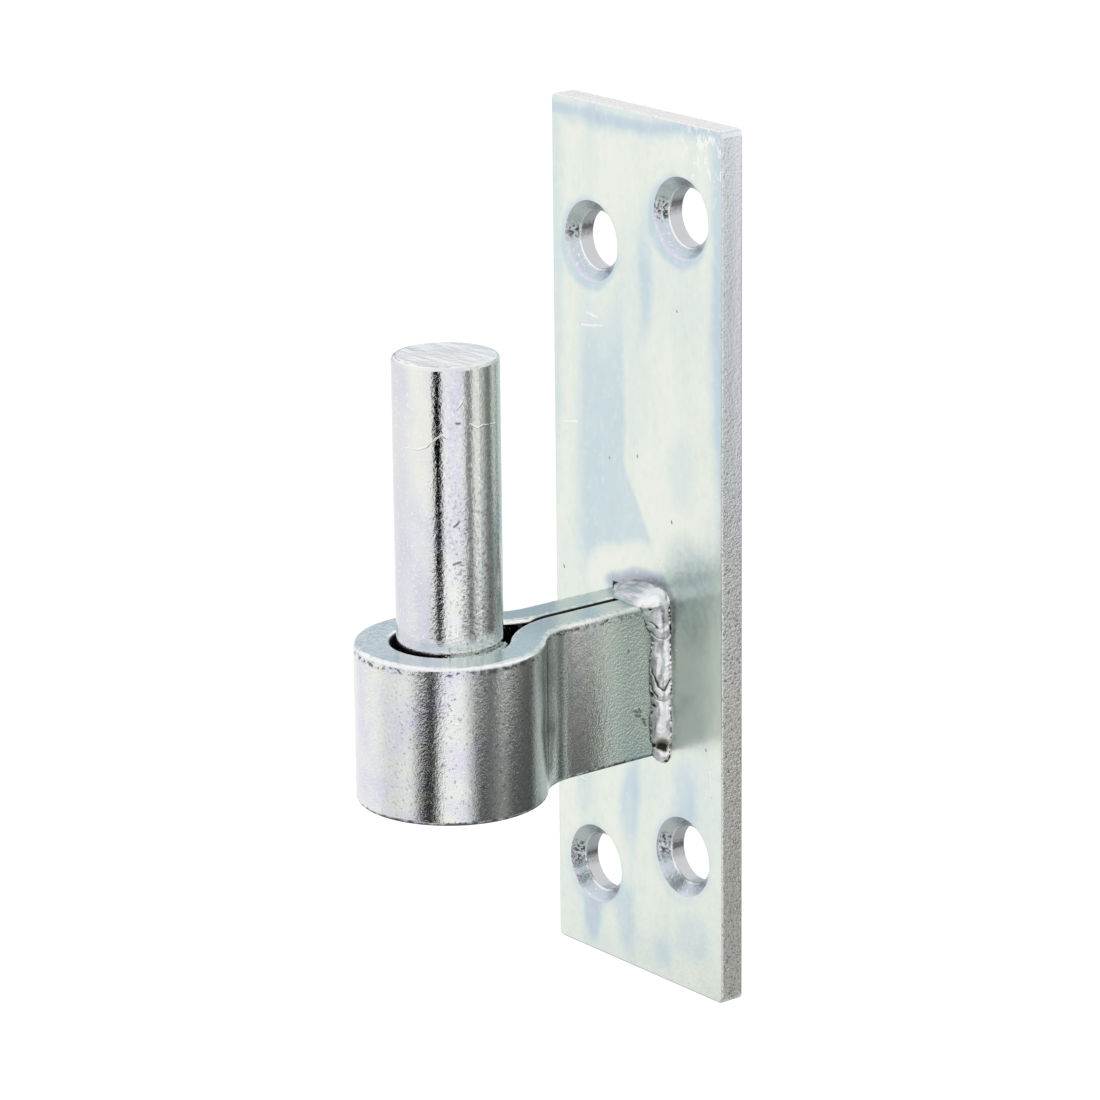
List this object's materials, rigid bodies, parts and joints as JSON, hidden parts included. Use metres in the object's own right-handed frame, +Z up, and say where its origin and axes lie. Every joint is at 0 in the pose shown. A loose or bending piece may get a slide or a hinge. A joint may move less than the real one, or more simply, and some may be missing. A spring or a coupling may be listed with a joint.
{
  "type": "gate hinge pin",
  "caption": "Upright round pin held in a folded bar eye that is welded through a screw-on back plate, for hanging a gate.",
  "frame": {"origin": "middle of the back plate's rear face, which lies on the gate post", "axes": "+Z up along the pin, -Y out of the post towards the pin, +X to the right of someone facing the post"},
  "size_m": [0.04, 0.0544, 0.136],
  "materials": {
    "plate_zinc": "bright zinc plate with a pale iridescent film",
    "strap_zinc": "bright zinc plate over a rolled surface",
    "pin_zinc": "bright zinc plate over drawn bar",
    "weld_zinc": "bright zinc plate over a rippled weld bead"
  },
  "bodies": {
    "root": {"back_plate": "plate_zinc", "eye_strap": "strap_zinc", "hinge_pin": "pin_zinc", "strap_weld_right": "weld_zinc", "strap_weld_left": "weld_zinc", "pin_weld": "weld_zinc"}
  },
  "joints": []
}
